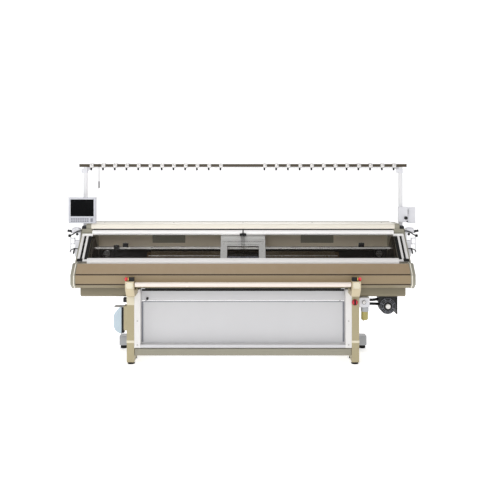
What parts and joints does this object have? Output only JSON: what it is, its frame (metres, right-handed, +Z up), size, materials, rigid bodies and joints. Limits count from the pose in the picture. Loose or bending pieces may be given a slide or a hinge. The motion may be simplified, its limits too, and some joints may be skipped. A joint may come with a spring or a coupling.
{
  "type": "flat knitting machine",
  "caption": "Computerised flat-bed knitting machine: long V-bed with sliding carriage, tinted window, yarn rail on posts, operator screen, start bar and fabric chute on legs.",
  "frame": {"origin": "on the floor under the middle of the machine's overall box", "axes": "+X along the beds to the operator's right, +Y from the operator's side to the back, +Z up"},
  "size_m": [3.4946, 0.95, 1.938],
  "materials": {
    "aluminium": "silver-grey brushed cast aluminium",
    "beige_paint": "satin beige paint",
    "black_plastic": "black moulded plastic",
    "bottle_plastic": "translucent bluish polyethylene",
    "cream_paint": "satin cream paint",
    "dark_steel": "dark blued steel",
    "grey_paint": "satin grey paint",
    "grey_plastic": "light grey moulded plastic",
    "leg_paint": "satin khaki-beige paint",
    "olive_paint": "satin olive-grey paint",
    "red_plastic": "red gloss plastic",
    "rubber": "black rubber",
    "steel": "ground steel",
    "tan_paint": "satin tan paint",
    "tinted_window": "smoked transparent acrylic",
    "white_paint": "satin white paint"
  },
  "bodies": {
    "machine_frame": {"air_filter": "grey_plastic", "blower_housing": "black_plastic", "carrier_rail_frame": "dark_steel", "chute_frame": "white_paint", "cone_table": "grey_plastic", "drive_belt": "rubber", "drive_motor": "black_plastic", "front_bed_beam": "olive_paint", "front_carriage_rail": "steel", "front_cover": "tan_paint", "front_crossbar": "olive_paint", "front_needle_bed": "dark_steel", "inner_back_panel": "olive_paint", "left_bar_bracket": "beige_paint", "left_end_cap": "olive_paint", "left_end_housing": "olive_paint", "left_leg": "leg_paint", "left_pan": "olive_paint", "left_tension_unit": "grey_plastic", "lint_bottle": "bottle_plastic", "rear_bed_beam": "olive_paint", "rear_carriage_rail": "steel", "rear_cover": "tan_paint", "rear_stabiliser": "grey_paint", "right_bar_bracket": "beige_paint", "right_end_cap": "olive_paint", "right_end_housing": "olive_paint", "right_leg": "leg_paint", "right_pan": "olive_paint", "right_tension_unit": "grey_plastic", "takedown_frame": "grey_paint", "threading_hook": "steel", "top_cover": "cream_paint", "window_frame": "white_paint", "yarn_stand": "grey_plastic"},
    "carriage": {"carriage_frame": "grey_paint", "carriage_cover": "aluminium", "front_cam_box": "dark_steel", "rear_cam_box": "dark_steel"},
    "yarn_carrier_1": {"yarn_carrier_1": "black_plastic"},
    "yarn_carrier_2": {"yarn_carrier_2": "black_plastic"},
    "yarn_carrier_3": {"yarn_carrier_3": "black_plastic"},
    "drive_pulley": {"drive_pulley": "steel"},
    "idler_pulley": {"idler_pulley": "steel"},
    "rear_bed": {"rear_needle_bed": "dark_steel"},
    "racking_screw": {"racking_screw": "steel"},
    "roller_front": {"takedown_roller_front": "rubber"},
    "roller_rear": {"takedown_roller_rear": "rubber"},
    "window_left": {"window_panel_left": "tinted_window"},
    "window_right": {"window_panel_right": "tinted_window"},
    "start_bar": {"start_bar": "white_paint"},
    "estop_left": {"estop_head_left": "red_plastic"},
    "estop_right": {"estop_head_right": "red_plastic"},
    "main_switch": {"main_switch": "red_plastic"},
    "chute_door": {"chute_door": "white_paint"},
    "blower_fan": {"blower_fan": "white_paint"},
    "tension_arms": {"top_tension_arms": "black_plastic"},
    "lever_left": {"tension_lever_left": "black_plastic"},
    "lever_right": {"tension_lever_right": "black_plastic"},
    "monitor": {"monitor": "grey_plastic"}
  },
  "joints": [
    {"name": "carriage_travel", "type": "slide", "parent": "machine_frame", "child": "carriage", "axis": [1, 0, 0], "range_m": [-1.2, 1.2]},
    {"name": "yarn_carrier_1_travel", "type": "slide", "parent": "machine_frame", "child": "yarn_carrier_1", "axis": [1, 0, 0], "range_m": [-0.18, 2.6]},
    {"name": "yarn_carrier_2_travel", "type": "slide", "parent": "machine_frame", "child": "yarn_carrier_2", "axis": [1, 0, 0], "range_m": [-0.26, 2.55]},
    {"name": "yarn_carrier_3_travel", "type": "slide", "parent": "machine_frame", "child": "yarn_carrier_3", "axis": [1, 0, 0], "range_m": [-2.55, 0.26]},
    {"name": "drive_pulley_turn", "type": "hinge", "parent": "machine_frame", "child": "drive_pulley", "pos_m": [1.415, 0.29501, 1], "axis": [0, 1, 0], "range_deg": [-1980, 1980]},
    {"name": "idler_pulley_turn", "type": "hinge", "parent": "machine_frame", "child": "idler_pulley", "pos_m": [-1.415, 0.29501, 1], "axis": [0, 1, 0], "range_deg": [-1980, 1980]},
    {"name": "rear_bed_racking", "type": "slide", "parent": "machine_frame", "child": "rear_bed", "axis": [1, 0, 0], "range_m": [-0.025, 0.025]},
    {"name": "racking_screw_turn", "type": "hinge", "parent": "machine_frame", "child": "racking_screw", "pos_m": [0.977, 0.07566, 0.96596], "axis": [1, 0, 0], "range_deg": [-1820, 1820]},
    {"name": "front_roller_turn", "type": "hinge", "parent": "machine_frame", "child": "roller_front", "pos_m": [0, -0.0246, 0.62], "axis": [1, 0, 0], "continuous": true},
    {"name": "rear_roller_turn", "type": "hinge", "parent": "machine_frame", "child": "roller_rear", "pos_m": [0, 0.0246, 0.62], "axis": [1, 0, 0], "continuous": true},
    {"name": "window_left_slide", "type": "slide", "parent": "machine_frame", "child": "window_left", "axis": [1, 0, 0], "range_m": [0, 1.44]},
    {"name": "window_right_slide", "type": "slide", "parent": "machine_frame", "child": "window_right", "axis": [1, 0, 0], "range_m": [-1.44, 0]},
    {"name": "start_bar_turn", "type": "hinge", "parent": "machine_frame", "child": "start_bar", "pos_m": [0, -0.4235, 0.811], "axis": [1, 0, 0], "range_deg": [-15, 15]},
    {"name": "estop_left_press", "type": "slide", "parent": "machine_frame", "child": "estop_left", "axis": [1, 0, 0], "range_m": [0, 0.005], "stiffness_N_per_m": 600},
    {"name": "estop_right_press", "type": "slide", "parent": "machine_frame", "child": "estop_right", "axis": [-1, 0, 0], "range_m": [0, 0.005], "stiffness_N_per_m": 600},
    {"name": "main_switch_turn", "type": "hinge", "parent": "machine_frame", "child": "main_switch", "pos_m": [1.074, -0.2303, 0.602], "axis": [0, 1, 0], "range_deg": [0, 90]},
    {"name": "chute_door_open", "type": "hinge", "parent": "machine_frame", "child": "chute_door", "pos_m": [0, -0.141, 0.6], "axis": [1, 0, 0], "range_deg": [0, 85]},
    {"name": "blower_fan_spin", "type": "hinge", "parent": "machine_frame", "child": "blower_fan", "pos_m": [1.405, -0.1703, 0.5497], "axis": [0, 1, 0], "continuous": true},
    {"name": "tension_arms_swing", "type": "hinge", "parent": "machine_frame", "child": "tension_arms", "pos_m": [0, 0.096, 1.891], "axis": [1, 0, 0], "range_deg": [-15, 15]},
    {"name": "tension_lever_left_swing", "type": "hinge", "parent": "machine_frame", "child": "lever_left", "pos_m": [-1.6586, -0.02, 1.085], "axis": [1, 0, 0], "range_deg": [-20, 20], "stiffness_Nm_per_rad": 1},
    {"name": "tension_lever_right_swing", "type": "hinge", "parent": "machine_frame", "child": "lever_right", "pos_m": [1.6586, -0.02, 1.085], "axis": [1, 0, 0], "range_deg": [-20, 20], "stiffness_Nm_per_rad": 1},
    {"name": "monitor_swivel", "type": "hinge", "parent": "machine_frame", "child": "monitor", "pos_m": [-1.594, 0.0517, 1.47], "axis": [0, 0, 1], "range_deg": [-30, 30]}
  ],
  "couplings": [
    {"joint": "drive_pulley_turn", "follows": "carriage_travel", "rad_per_m": 27.778},
    {"joint": "idler_pulley_turn", "follows": "carriage_travel", "rad_per_m": 27.778},
    {"joint": "racking_screw_turn", "follows": "rear_bed_racking", "rad_per_m": -1256.6},
    {"joint": "rear_roller_turn", "follows": "front_roller_turn", "ratio": -1}
  ]
}
